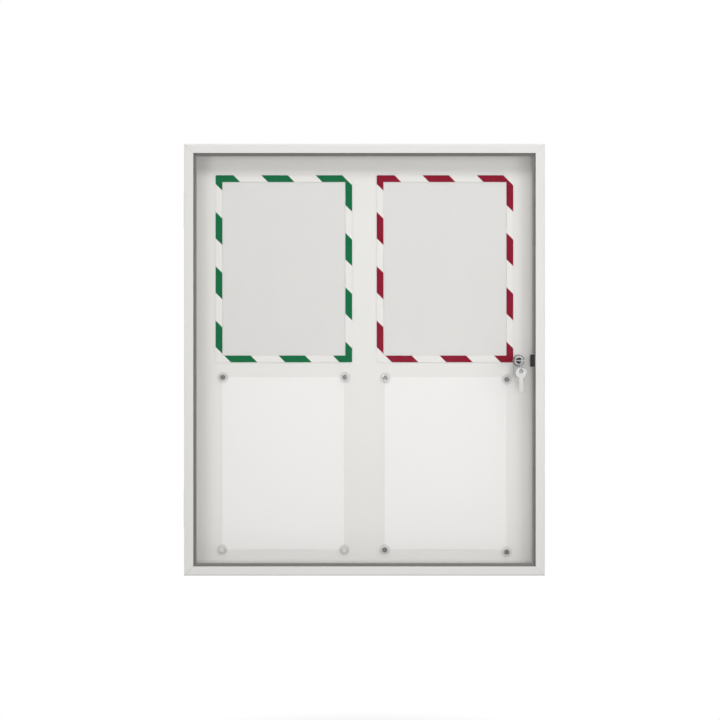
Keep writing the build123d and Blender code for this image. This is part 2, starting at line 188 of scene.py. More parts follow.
class Graph:
    """A node tree with one way to add a node."""

    def __init__(self, tree: bpy.types.NodeTree) -> None:
        """Start from an empty tree."""
        self.tree = tree
        self.tree.nodes.clear()

    def node(
        self, kind: str, settings: dict | None = None, inputs: dict | None = None
    ) -> bpy.types.Node:
        """Add a node, set it up and feed its sockets.

        Args:
            kind: The node's type.
            settings: Attributes of the node, which are set first.
            inputs: Numbers, colours or values by socket name or place.

        Returns:
            The new node.
        """
        node = self.tree.nodes.new(kind)
        for name, setting in (settings or {}).items():
            setattr(node, name, setting)
        for name, value in (inputs or {}).items():
            if isinstance(value, Value):
                self.tree.links.new(value.socket, node.inputs[name])
            else:
                node.inputs[name].default_value = value
        return node

    def value(
        self,
        kind: str,
        output: str | int = 0,
        settings: dict | None = None,
        inputs: dict | None = None,
    ) -> Value:
        """Add a node and return one of its outputs.

        Args:
            kind: The node's type.
            output: Name or place of the output.
            settings: Attributes of the node.
            inputs: Numbers, colours or values by socket name or place.

        Returns:
            The output as a value.
        """
        return Value(self, self.node(kind, settings, inputs).outputs[output])

    def math(self, operation: str, *operands: Value | float, clamp: bool = False) -> Value:
        """Add a Math node.

        Args:
            operation: The node's operation.
            operands: Its one or two operands.
            clamp: Whether the result is held between 0 and 1.

        Returns:
            The result.
        """
        settings = {"operation": operation, "use_clamp": clamp}
        return self.value("ShaderNodeMath", 0, settings, dict(enumerate(operands)))

    def place(self, kind: str = "Object") -> Value:
        """The point on the surface in the part's frame, or the direction in the world."""
        return self.value("ShaderNodeTexCoord", kind)

    def axes(self, kind: str = "Object") -> tuple[Value, Value, Value]:
        """The three coordinates of that point or direction."""
        split = self.node("ShaderNodeSeparateXYZ", inputs={"Vector": self.place(kind)})
        return tuple(Value(self, output) for output in split.outputs)

    def noise(self, size: float, detail: float = 2.0, stretch: Triple = (1, 1, 1)) -> Value:
        """Cloudy noise from 0 to 1.

        Args:
            size: Width of its features.
            detail: Number of finer layers.
            stretch: Factors on the three coordinates; a small one draws the noise out.

        Returns:
            The noise.
        """
        place = self.value(
            "ShaderNodeMapping", 0, inputs={"Vector": self.place(), "Scale": stretch}
        )
        inputs = {"Vector": place, "Scale": 1 / size, "Detail": detail}
        return self.value("ShaderNodeTexNoise", "Fac", inputs=inputs)

    def cells(self, size: float, output: str) -> Value:
        """Cells like foam bubbles or zinc flowers.

        Args:
            size: Width of a cell.
            output: Distance for the depth in a cell, Color for a colour by cell.

        Returns:
            That output of the cells.
        """
        inputs = {"Vector": self.place(), "Scale": 1 / size}
        return self.value("ShaderNodeTexVoronoi", output, inputs=inputs)

    def facing(self, blend: float) -> Value:
        """How far the surface turns away from the eye, from 0 to 1, with a bias towards one end."""
        return self.value("ShaderNodeLayerWeight", "Facing", inputs={"Blend": blend})

    def mix(self, share: Value, first: Value | Colour, second: Value | Colour) -> Value:
        """Blend two colours.

        Args:
            share: How much of the second colour there is.
            first: The colour at 0.
            second: The colour at 1.

        Returns:
            The blended colour.
        """
        inputs = {0: share}
        # A Mix node repeats its socket names for each kind of data, so they are taken by place.
        for socket, colour in ((6, first), (7, second)):
            inputs[socket] = colour if isinstance(colour, Value) else (*colour, 1.0)
        return self.value("ShaderNodeMix", 2, {"data_type": "RGBA"}, inputs)

    def bump(self, height: Value, depth: float) -> Value:
        """Normal of a surface that a height from 0 to 1 roughens by a depth in metres."""
        inputs = {"Height": height, "Distance": depth, "Strength": 1.0}
        return self.value("ShaderNodeBump", "Normal", inputs=inputs)

    def surface(self, **inputs: Value | float | Colour) -> None:
        """Close the graph with a Principled surface.

        Args:
            inputs: Its sockets, with underscores for spaces.
        """
        named = {}
        for name, value in inputs.items():
            is_colour = isinstance(value, tuple) and len(value) == 3
            named[name.replace("_", " ")] = (*value, 1.0) if is_colour else value
        shader = self.value("ShaderNodeBsdfPrincipled", 0, inputs=named)
        self.node("ShaderNodeOutputMaterial", inputs={"Surface": shader})


def shade(colour: Colour, factor: float) -> Colour:
    """The colour made darker or lighter by a factor."""
    return tuple(channel * factor for channel in colour)


@dataclass(frozen=True)
class Finish:
    """A surface finish with a wandering colour and a fine grain."""

    name: str
    colour: Colour
    roughness: float = 0.4
    metallic: float = 0.0
    mottle: float = 0.05
    mottle_size: float = 20 * MM
    grain: float = 0.01 * MM
    grain_size: float = 1 * MM
    wear: float = 0.15

    def make(self) -> bpy.types.Material:
        """Make the material of this finish."""
        material = bpy.data.materials.new(self.name)
        material.use_nodes = True
        self.lay(Graph(material.node_tree))
        return material

    def varied(self, graph: Graph, share: Value) -> Value:
        """The colour, darkest where the share is 0 and lightest where it is 1."""
        dark, light = shade(self.colour, 1 - self.mottle), shade(self.colour, 1 + self.mottle)
        return graph.mix(share, dark, light)

    def mottled(self, graph: Graph) -> Value:
        """The colour, lighter and darker in soft patches."""
        return self.varied(graph, graph.noise(self.mottle_size))

    def worn(self, graph: Graph) -> Value:
        """The roughness, with patches that handling has smoothed."""
        patches = graph.noise(2 * self.mottle_size)
        return self.roughness * (1 - self.wear) + self.roughness * 2 * self.wear * patches

    def grained(self, graph: Graph) -> Value:
        """The normal of the surface with its fine grain."""
        return graph.bump(graph.noise(self.grain_size), self.grain)

    def lay(self, graph: Graph) -> None:
        """Lay the nodes of the finish."""
        graph.surface(
            Base_Color=self.mottled(graph),
            Roughness=self.worn(graph),
            Metallic=self.metallic,
            Normal=self.grained(graph),
        )


@dataclass(frozen=True)
class PowderCoat(Finish):
    """Satin powder coat with orange peel, and a dark hairline along the mitres of a frame."""

    half_width: float = 0.0
    half_height: float = 0.0
    joint: float = 0.35 * MM
    joint_share: float = 0.45
    joint_shade: float = 0.3
    dust_size: float = 3 * MM
    dust_share: float = 0.02
    dust_shade: float = 0.5

    def lay(self, graph: Graph) -> None:
        """Lay the coat, its peel and the shade in the mitres."""
        x, _, z = graph.axes()
        from_mitre = abs((self.half_width - abs(x)) - (self.half_height - abs(z)))
        joint = (1 - from_mitre / self.joint).within() * self.joint_share
        dust = graph.noise(self.dust_size, detail=4.0) * self.dust_share
        coat = graph.mix(dust, self.mottled(graph), shade(self.colour, self.dust_shade))
        graph.surface(
            Base_Color=graph.mix(joint, coat, shade(self.colour, self.joint_shade)),
            Roughness=self.worn(graph),
            Metallic=self.metallic,
            Normal=self.grained(graph),
        )


@dataclass(frozen=True)
class EnamelPanel(Finish):
    """White enamelled steel in front and bare zinc behind, told apart by depth."""

    front: float = 0.0
    rear: float = 0.0
    zinc: Colour = (0.42, 0.43, 0.44)
    zinc_metallic: float = 0.85
    zinc_dullness: float = 0.15
    flower: float = 9 * MM
    flower_shades: tuple[float, float] = (0.75, 1.2)
    wipe: float = 0.10
    wipe_size: float = 14 * MM
    wipe_stretch: Triple = (0.12, 1, 1)

    def lay(self, graph: Graph) -> None:
        """Lay the enamel with its wipe marks and the zinc with its flowers."""
        _, y, _ = graph.axes()
        behind = ((y - self.front) / (self.rear - self.front)).within()
        flower = graph.value(
            "ShaderNodeSeparateColor", 0, inputs={"Color": graph.cells(self.flower, "Color")}
        )
        zinc = graph.mix(flower, *(shade(self.zinc, factor) for factor in self.flower_shades))
        wipe = graph.noise(self.wipe_size, detail=3.0, stretch=self.wipe_stretch) * self.wipe
        graph.surface(
            Base_Color=graph.mix(behind, self.mottled(graph), zinc),
            Roughness=self.roughness + wipe + behind * self.zinc_dullness,
            Metallic=behind * self.zinc_metallic,
            Normal=self.grained(graph),
        )


@dataclass(frozen=True)
class StripedPrint(Finish):
    """Slanting bands of ink on white vinyl, under a matt laminate."""

    vinyl: Colour = (0.74, 0.725, 0.70)
    left: float = 0.0
    top: float = 0.0
    period: float = 93.6 * MM
    band: float = 46.0 * MM
    lead: float = 30.8 * MM
    edge: float = 0.25 * MM
    sheen: float = 0.04

    def lay(self, graph: Graph) -> None:
        """Lay the bands, counted from the frame's upper left corner."""
        x, _, z = graph.axes()
        run = self.left + self.top + self.lead - x - z
        turn = graph.math("FRACT", run / self.period) * self.period
        ink = (turn / self.edge).within() * ((self.band - turn) / self.edge).within()
        graph.surface(
            Base_Color=graph.mix(ink, self.vinyl, self.mottled(graph)),
            Roughness=self.worn(graph),
            Specular_IOR_Level=self.sheen,
            Normal=self.grained(graph),
        )


@dataclass(frozen=True)
class ClearSheet(Finish):
    """Clear plastic: it lets light through, and at a glancing angle its pale colour shows as a
    painted reflection.
    """

    cover: float = 0.01
    facing_blend: float = 0.5
    glance_power: float = 5.0
    haze: float = 0.0
    haze_size: float = 30 * MM
    haze_stretch: Triple = (1, 1, 0.3)

    def lay(self, graph: Graph) -> None:
        """Lay the clear sheet with its faint haze and its painted reflection at a glancing angle.
        """
        # Painted reflection: the pale colour grows opaque as the surface turns away from the eye.
        painted_reflection = graph.facing(self.facing_blend) ** self.glance_power
        haze = graph.noise(self.haze_size, detail=3.0, stretch=self.haze_stretch) * self.haze
        graph.surface(
            Base_Color=self.mottled(graph),
            Roughness=self.worn(graph),
            Alpha=(painted_reflection + haze + self.cover).within(),
            Normal=self.grained(graph),
        )


@dataclass(frozen=True)
class ClearBlock(Finish):
    """Thick clear plastic with painted shade that darkens it towards its rim, where the light bends
    away.
    """

    cover: float = 0.04
    facing_blend: float = 0.35
    rim: float = 0.30
    coat: float = 0.6

    def lay(self, graph: Graph) -> None:
        """Lay the clear block with the painted shade at its rim."""
        graph.surface(
            Base_Color=self.mottled(graph),
            Roughness=self.worn(graph),
            # Painted shade: the grey colour grows opaque towards the rim, where refraction would
            # darken the block.
            Alpha=(graph.facing(self.facing_blend) * self.rim + self.cover).within(),
            Coat_Weight=self.coat,
            Normal=self.grained(graph),
        )


@dataclass(frozen=True)
class Foam(Finish):
    """Closed-cell foam with open bubbles on its skin, and painted shade in each bubble's hollow."""

    painted_pit_shades: tuple[float, float] = (0.5, 1.4)

    def lay(self, graph: Graph) -> None:
        """Lay the foam with its bubbles, darker in their hollows as painted shade."""
        bubble = graph.cells(self.grain_size, "Distance")
        # Painted shade: the colour darkens towards each bubble's hollow and lightens at its walls.
        tones = (shade(self.colour, factor) for factor in self.painted_pit_shades)
        graph.surface(
            Base_Color=graph.mix(bubble, *tones),
            Roughness=self.worn(graph),
            Normal=graph.bump(bubble, self.grain),
        )


@dataclass(frozen=True)
class DrawnMetal(Finish):
    """Metal with fine lines along the way it was drawn or brushed."""

    stretch: Triple = (0.05, 1, 1)
    line_dullness: float = 0.1

    def lay(self, graph: Graph) -> None:
        """Lay the metal with its drawing lines."""
        lines = graph.noise(self.grain_size, detail=3.0, stretch=self.stretch)
        graph.surface(
            Base_Color=self.varied(graph, lines),
            Roughness=self.worn(graph) + self.line_dullness * lines,
            Metallic=self.metallic,
            Normal=graph.bump(lines, self.grain),
        )


@dataclass(frozen=True)
class TurnedMetal(Finish):
    """Plated metal with the rings that turning leaves round its axis, dark in its middle."""

    middle: Colour = (0.03, 0.03, 0.03)
    middle_radius: float = 0.0
    middle_edge: float = 0.2 * MM
    axis_x: float = 0.0
    axis_z: float = 0.0

    def lay(self, graph: Graph) -> None:
        """Lay the bright plating, the darker middle and the turning rings."""
        x, _, z = graph.axes()
        radius = graph.math("SQRT", (x - self.axis_x) ** 2 + (z - self.axis_z) ** 2)
        rings = graph.math("SINE", radius * (2 * math.pi / self.grain_size)) * 0.5 + 0.5
        rim = ((radius - self.middle_radius) / self.middle_edge).within()
        graph.surface(
            Base_Color=graph.mix(rim, self.middle, self.mottled(graph)),
            Roughness=self.worn(graph),
            Metallic=self.metallic,
            Normal=graph.bump(rings, self.grain),
        )


class FinishSet:
    """The finish of every material slot, and the dressing of the CAD nodes with them."""

    def __init__(self) -> None:
        """Make one material for each slot."""
        parts = frame["record"]["subparts"]
        self.slots = {part["node"]: Slot(part["material_slot"]) for part in parts}
        finishes = self.frame_finishes() | self.fitting_finishes() | self.notice_finishes()
        self.materials = {slot: finish.make() for slot, finish in finishes.items()}

    def frame_finishes(self) -> dict[Slot, Finish]:
        """The finishes of the case, the door, the pane and their seals."""
        _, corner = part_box("door_frame_top")
        panel_low, panel_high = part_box("back_panel")
        return {
            Slot.POWDER_COAT: PowderCoat(
                "satin_powder_coat",
                from_screen(214, 212, 210),
                roughness=0.42,
                mottle=0.008,
                mottle_size=60 * MM,
                grain=0.012 * MM,
                half_width=corner.x,
                half_height=corner.z,
            ),
            Slot.MILL_ALUMINIUM: DrawnMetal(
                "mill_aluminium", (0.60, 0.60, 0.61), roughness=0.42, metallic=1.0, grain=0.01 * MM
            ),
            Slot.PANEL_ENAMEL: EnamelPanel(
                "white_enamel_on_zinc",
                from_screen(220, 219, 216),
                roughness=0.5,
                mottle=0.006,
                mottle_size=90 * MM,
                grain=0.002 * MM,
                front=panel_low.y,
                rear=panel_high.y,
            ),
            Slot.SEAL_FOAM: Foam(
                "grey_seal_foam",
                from_screen(70, 70, 70),
                roughness=0.9,
                grain=0.15 * MM,
                grain_size=0.6 * MM,
            ),
            Slot.GASKET_RUBBER: Finish(
                "grey_glazing_rubber",
                from_screen(126, 124, 121),
                roughness=0.6,
                mottle=0.10,
                mottle_size=12 * MM,
                grain=0.01 * MM,
                grain_size=0.5 * MM,
            ),
            Slot.PANE_ACRYLIC: ClearSheet(
                "clear_acrylic_pane",
                (0.92, 0.915, 0.91),
                roughness=0.05,
                mottle=0.01,
                grain=0.0005 * MM,
                grain_size=40 * MM,
                cover=0.002,
                haze=0.003,
            ),
        }

    def fitting_finishes(self) -> dict[Slot, Finish]:
        """The finishes of the hinges, the lock, the catch and the keys."""
        low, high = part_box("lock_housing")
        lock = (low + high) / 2
        return {
            Slot.HINGE_GREY: DrawnMetal(
                "anodised_hinge",
                from_screen(214, 214, 214),
                roughness=0.45,
                metallic=0.6,
                mottle=0.03,
                grain=0.004 * MM,
                grain_size=0.5 * MM,
                stretch=(1, 1, 0.04),
            ),
            Slot.PLATED_STEEL: Finish(
                "zinc_plated_steel",
                (0.46, 0.47, 0.48),
                roughness=0.5,
                metallic=1.0,
                mottle=0.08,
                mottle_size=3 * MM,
                grain=0.004 * MM,
                grain_size=0.4 * MM,
            ),
            Slot.LOCK_CHROME: TurnedMetal(
                "black_faced_lock",
                (0.42, 0.415, 0.41),
                roughness=0.44,
                metallic=0.9,
                mottle=0.08,
                mottle_size=4 * MM,
                grain=0.008 * MM,
                grain_size=0.5 * MM,
                middle_radius=5.4 * MM,
                axis_x=lock.x,
                axis_z=lock.z,
            ),
            Slot.KEY_NICKEL: DrawnMetal(
                "nickel_key",
                (0.58, 0.575, 0.56),
                roughness=0.5,
                metallic=0.9,
                mottle=0.05,
                grain=0.006 * MM,
                grain_size=0.35 * MM,
                stretch=(1, 0.08, 0.3),
            ),
            Slot.BLACK_PLASTIC: Finish(
                "black_moulded_plastic",
                from_screen(9, 9, 9),
                roughness=0.5,
                mottle=0.12,
                mottle_size=5 * MM,
                grain=0.02 * MM,
                grain_size=0.4 * MM,
            ),
        }

    def notice_finishes(self) -> dict[Slot, Finish]:
        """The finishes of the sheets, the striped frames and the magnets."""
        return {
            Slot.PAPER: Finish(
                "white_notice_paper",
                from_screen(230, 229, 227),
                roughness=0.75,
                mottle=0.006,
                mottle_size=25 * MM,
                grain=0.01 * MM,
                grain_size=0.6 * MM,
            ),
            Slot.GREEN_STRIPE: self.stripes("green", from_screen(12, 103, 62)),
            Slot.RED_STRIPE: self.stripes("red", from_screen(133, 14, 42)),
            Slot.WINDOW_FILM: ClearSheet(
                "clear_window_film",
                (0.80, 0.80, 0.79),
                roughness=0.25,
                mottle=0.01,
                grain=0.004 * MM,
                grain_size=20 * MM,
                cover=0.03,
                haze=0.03,
            ),
            Slot.BACKING_SHEET: Finish(
                "white_backing_sheet",
                from_screen(215, 214, 212),
                roughness=0.7,
                mottle=0.008,
                mottle_size=30 * MM,
                grain=0.008 * MM,
                grain_size=0.8 * MM,
            ),
            Slot.MAGNET_ACRYLIC: ClearBlock(
                "clear_magnet_acrylic",
                (0.80, 0.80, 0.795),
                roughness=0.08,
                mottle=0.02,
                grain=0.001 * MM,
                grain_size=4 * MM,
            ),
            Slot.DARK_CORE: Finish(
                "dark_magnet_core",
                from_screen(106, 105, 104),
                roughness=0.4,
                metallic=0.3,
                mottle=0.10,
                mottle_size=2 * MM,
                grain=0.01 * MM,
                grain_size=0.4 * MM,
            ),
            Slot.BRIGHT_CORE: Finish(
                "bright_magnet_core",
                from_screen(224, 223, 221),
                roughness=0.5,
                metallic=0.1,
                mottle=0.05,
                mottle_size=2 * MM,
                grain=0.006 * MM,
                grain_size=0.4 * MM,
            ),
        }

    def stripes(self, colour_name: str, ink: Colour) -> StripedPrint:
        """The striped finish of one frame.

        Args:
            colour_name: First word of the frame's nodes.
            ink: Colour of its bands.

        Returns:
            The finish, counted from that frame's upper left corner.
        """
        low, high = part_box(f"{colour_name}_frame_border")
        return StripedPrint(
            f"{colour_name}_striped_vinyl",
            ink,
            roughness=0.55,
            mottle=0.06,
            mottle_size=8 * MM,
            grain=0.004 * MM,
            grain_size=1.5 * MM,
            left=low.x,
            top=high.z,
        )

    def dress(self) -> None:
        """Give every CAD node the finish of its slot."""
        for name, node in frame["nodes"].items():
            node.data.materials.clear()
            node.data.materials.append(self.materials[self.slots[name]])
        LOG.info("dressed %d CAD nodes in %d finishes", len(self.slots), len(self.materials))

    def piece(
        self,
        name: str,
        shape: bmesh.types.BMesh,
        body: Body,
        *nodes: str,
        sharp: float = 50.0,
    ) -> bpy.types.Object:
        """Turn a finished shape into a piece that stands for CAD nodes.

        Args:
            name: Name of the piece.
            shape: Its shape, which is freed.
            body: The body that it rides on.
            nodes: The CAD nodes that it stands for; the first gives the finish.
            sharp: Least angle in degrees of an edge that stays sharp.

        Returns:
            The piece.
        """
        mesh = bpy.data.meshes.new(name)
        shape.to_mesh(mesh)
        shape.free()
        settle_normals(mesh, math.radians(sharp))
        mesh.materials.append(self.materials[self.slots[nodes[0]]])
        made = bpy.data.objects.new(name, mesh)
        bpy.context.scene.collection.objects.link(made)
        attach(made, body.value)
        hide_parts(*nodes)
        return made

    def eased(self, node: str, body: Body, radius: float) -> bpy.types.Object:
        """Stand a copy with rounded edges in for a CAD node.

        Args:
            node: Name of the CAD node.
            body: The body that it rides on.
            radius: How far the rounding reaches from an edge.

        Returns:
            The piece.
        """
        return self.piece(f"eased_{node}", softened_copy(node, radius), body, node)


def settle_normals(mesh: bpy.types.Mesh, sharp: float) -> None:
    """Shade a mesh smooth, with the larger faces at each corner setting the shading.

    Flat faces then look flat up to their rounded edges.

    Args:
        mesh: The mesh.
        sharp: Angle between two faces from which they are shaded apart.
    """
    mesh.shade_smooth()
    faces = [[] for _ in mesh.vertices]
    for face in mesh.polygons:
        for vertex in face.vertices:
            faces[vertex].append(face)
    normals = []
    for face in mesh.polygons:
        for vertex in face.vertices:
            near = [
                other for other in faces[vertex] if other.normal.angle(face.normal, 0.0) < sharp
            ]
            total = sum((other.normal * other.area for other in near), Vector())
            normals.append(total.normalized())
    mesh.normals_split_custom_set(normals)


def softened_copy(node: str, radius: float, segments: int = 2) -> bmesh.types.BMesh:
    """Copy a CAD node with its sharp edges rounded.

    Args:
        node: Name of the CAD node.
        radius: How far the rounding reaches from an edge.
        segments: Steps of the rounding.

    Returns:
        The rounded copy.
    """
    shape = bmesh.new()
    shape.from_mesh(frame["nodes"][node].data)
    bmesh.ops.remove_doubles(shape, verts=shape.verts, dist=MERGE_DISTANCE)
    bmesh.ops.dissolve_limit(shape, angle_limit=FLAT_ANGLE, verts=shape.verts, edges=shape.edges)
    edges = [
        edge for edge in shape.edges if edge.is_manifold and edge.calc_face_angle() > SHARP_ANGLE
    ]
    bmesh.ops.bevel(
        shape,
        geom=edges,
        offset=radius,
        offset_type="OFFSET",
        affect="EDGES",
        segments=segments,
        profile=0.5,
        material=-1,
        clamp_overlap=True,
    )
    return shape


def turned(
    outline: list[tuple[float, float]], places: list[Vector], steps: int = 48
) -> bmesh.types.BMesh:
    """Turn a closed half outline round the depth axis at several places.

    Args:
        outline: Points as radius and height above the place, towards the viewer.
        places: Where the turned shapes stand.
        steps: Facets of a full turn.

    Returns:
        All the turned shapes.
    """
    shape = bmesh.new()
    for place in places:
        corners = [shape.verts.new(place + Vector((r, -h, 0))) for r, h in outline]
        edges = [shape.edges.new(pair) for pair in zip(corners, corners[1:])]
        bmesh.ops.spin(
            shape,
            geom=corners + edges,
            cent=place,
            axis=(0, 1, 0),
            angle=2 * math.pi,
            steps=steps,
            use_merge=True,
        )
    bmesh.ops.remove_doubles(shape, verts=shape.verts, dist=MERGE_DISTANCE)
    bmesh.ops.recalc_face_normals(shape, faces=shape.faces)
    return shape


def islands_of(node: str) -> list[tuple[Vector, Vector]]:
    """Boxes of the separate solids in a CAD node.

    Args:
        node: Name of the CAD node.

    Returns:
        The lowest and highest corner of each solid, from left to right.
    """
    shape = bmesh.new()
    shape.from_mesh(frame["nodes"][node].data)
    bmesh.ops.remove_doubles(shape, verts=shape.verts, dist=MERGE_DISTANCE)
    left = set(shape.verts)
    boxes = []
    while left:
        reached = {left.pop()}
        edge_of_reach = set(reached)
        while edge_of_reach:
            edge_of_reach = {
                edge.other_vert(vert) for vert in edge_of_reach for edge in vert.link_edges
            } & left
            reached |= edge_of_reach
            left -= edge_of_reach
        low, high = (
            Vector([pick(vert.co[axis] for vert in reached) for axis in range(3)])
            for pick in (min, max)
        )
        boxes.append((low, high))
    shape.free()
    return sorted(boxes, key=lambda box: (box[0].x, box[0].z))


@dataclass
class NoticeSheets:
    """The two plain sheets, pressed flat at their corners and bowed a little between them."""

    finishes: FinishSet
    thickness: float = 0.12 * MM
    bow: float = 0.9 * MM
    bow_across: float = 0.6
    ripple: float = 0.15
    ripples: int = 5
    columns: int = 30
    rows: int = 42

    def build(self) -> Pieces:
        """Lay both sheets on the panel, and return them."""
        nodes = {side: f"{side}_notice_sheet" for side in ("left", "right")}
        return [
            self.finishes.piece(f"{side}_paper", self.sheet(node), Body.CASE, node)
            for side, node in nodes.items()
        ]

    def sheet(self, node: str) -> bmesh.types.BMesh:
        """Shape one sheet.

        Args:
            node: The CAD node of the sheet.

        Returns:
            The bowed sheet.
        """
        low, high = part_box(node)
        size = high - low
        shape = bmesh.new()
        bmesh.ops.create_grid(shape, x_segments=self.columns, y_segments=self.rows, size=0.5)
        for vert in shape.verts:
            across, up = vert.co.x + 0.5, vert.co.y + 0.5
            lift = self.bow_across * math.sin(math.pi * across) ** 2
            lift += (1 - self.bow_across) * math.sin(math.pi * up) ** 2
            wave = math.sin(self.ripples * math.pi * across) * math.sin(math.pi * up)
            depth = high.y - self.thickness - self.bow * lift * (1 + self.ripple * wave)
            vert.co = Vector((low.x + across * size.x, depth, low.z + up * size.z))
        bmesh.ops.recalc_face_normals(shape, faces=shape.faces)
        if next(iter(shape.faces)).normal.y > 0:
            bmesh.ops.reverse_faces(shape, faces=shape.faces)
        bmesh.ops.solidify(shape, geom=shape.faces, thickness=self.thickness)
        return shape


@dataclass
class MagnetSet:
    """Eight clear round magnets, each with a blind bore for its core."""

    finishes: FinishSet
    rim: float = 1.2 * MM
    foot: float = 0.4 * MM
    grip: float = 0.55 * MM
    grip_height: float = 0.45
    taper: float = 0.75 * MM
    crown: float = 0.15 * MM
    bore_play: float = 0.05 * MM
    bore_depth: float = 5.05 * MM
    core_easing: float = 0.3 * MM
    rounding_steps: int = 4

    def build(self) -> Pieces:
        """Turn the clear shells, soften the cores inside them, and return both."""
        boxes = islands_of("clear_magnets")
        core_low, core_high = islands_of("dark_magnet_cores")[0]
        core_radius = (core_high.x - core_low.x) / 2
        low, high = boxes[0]
        radius = (high.x - low.x) / 2
        height = high.y - low.y
        places = [Vector(((a.x + b.x) / 2, b.y, (a.z + b.z) / 2)) for a, b in boxes]
        shell = turned(self.outline(radius, height, core_radius + self.bore_play), places)
        pieces = [self.finishes.piece("clear_magnet_shells", shell, Body.CASE, "clear_magnets")]
        for tone in ("dark", "bright"):
            node = f"{tone}_magnet_cores"
            core = softened_copy(node, self.core_easing)
            pieces.append(self.finishes.piece(f"{tone}_cores", core, Body.CASE, node))
        return pieces

    def outline(self, radius: float, height: float, bore: float) -> list[tuple[float, float]]:
        """Half section of a shell.

        Args:
            radius: Outer radius at the foot.
            height: Height of the shell.
            bore: Radius of the blind bore.

        Returns:
            Points as radius and height, from the bore's floor round to the foot.
        """
        points = [(0.0, self.bore_depth), (bore, self.bore_depth), (bore, 0.0)]
        points += [(radius - self.foot, 0.0), (radius, self.foot)]
        points += [(radius - self.grip, self.grip_height * height)]
        rim_radius = radius - self.taper - self.rim
        rim_height = height - self.crown - self.rim
        for step in range(self.rounding_steps + 1):
            turn = step / self.rounding_steps * math.pi / 2
            out, up = self.rim * math.cos(turn), self.rim * math.sin(turn)
            points.append((rim_radius + out, rim_height + up))
        points.append((0.0, height))
        return points


@dataclass
class SealSet:
    """The foam strips between case and door and the rubber round the pane, with soft edges."""

    finishes: FinishSet
    foam_easing: float = 0.8 * MM
    rubber_easing: float = 0.3 * MM

    def build(self) -> Pieces:
        """Round the strips of every side, and return them."""
        pieces = []
        for side in ("top", "bottom", "left", "right"):
            pieces.append(self.finishes.eased(f"dust_seal_{side}", Body.CASE, self.foam_easing))
            pieces.append(self.finishes.eased(f"pane_gasket_{side}", Body.DOOR, self.rubber_easing))
        return pieces


@dataclass
class CamLock:
    """The lock in the pane and its catch on the case, with eased edges."""

    finishes: FinishSet
    easing: float = 0.25 * MM

    def build(self) -> Pieces:
        """Ease the edges of the lock's parts, and return them."""
        bodies = {
            "lock_housing": Body.DOOR,
            "lock_washer": Body.DOOR,
            "lock_nut": Body.DOOR,
            "lock_plug": Body.LOCK_PLUG,
            "lock_cam": Body.LOCK_PLUG,
            "lock_catch": Body.CASE,
        }
        return [self.finishes.eased(node, body, self.easing) for node, body in bodies.items()]


@dataclass
class KeySet:
    """Two keys with eased edges on a split ring."""

    finishes: FinishSet
    easing: float = 0.3 * MM
    coils: int = 2
    coil_steps: int = 64
    wire_sides: int = 10

    def build(self) -> Pieces:
        """Ease the keys, wind the ring, and return them."""
        return [
            self.finishes.eased("key", Body.KEY, self.easing),
            self.finishes.eased("spare_key", Body.SPARE_KEY, self.easing),
            self.finishes.piece("split_ring", self.ring(), Body.KEY_RING, "key_ring"),
        ]

    def ring(self) -> bmesh.types.BMesh:
        """Wind the split ring inside the space of its CAD torus.

        Returns:
            A coil of thinner wire, with its turns side by side.
        """
        low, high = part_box("key_ring")
        centre = (low + high) / 2
        width = high.x - low.x
        wire = width / (2 * self.coils)
        radius = (high.z - low.z - width) / 2
        start = Vector((low.x + wire, centre.y, centre.z + radius))
        shape = bmesh.new()
        made = bmesh.ops.create_circle(
            shape,
            segments=self.wire_sides,
            radius=wire,
            matrix=Matrix.Translation(start) @ Matrix.Rotation(math.pi / 2, 4, "X"),
        )
        steps = self.coils * self.coil_steps
        bmesh.ops.spin(
            shape,
            geom=made["verts"] + list(shape.edges),
            cent=centre,
            axis=(1, 0, 0),
            dvec=((width - 2 * wire) / steps, 0, 0),
            angle=2 * math.pi * self.coils,
            steps=steps,
        )
        bmesh.ops.holes_fill(shape, edges=[edge for edge in shape.edges if edge.is_boundary])
        bmesh.ops.recalc_face_normals(shape, faces=shape.faces)
        return shape


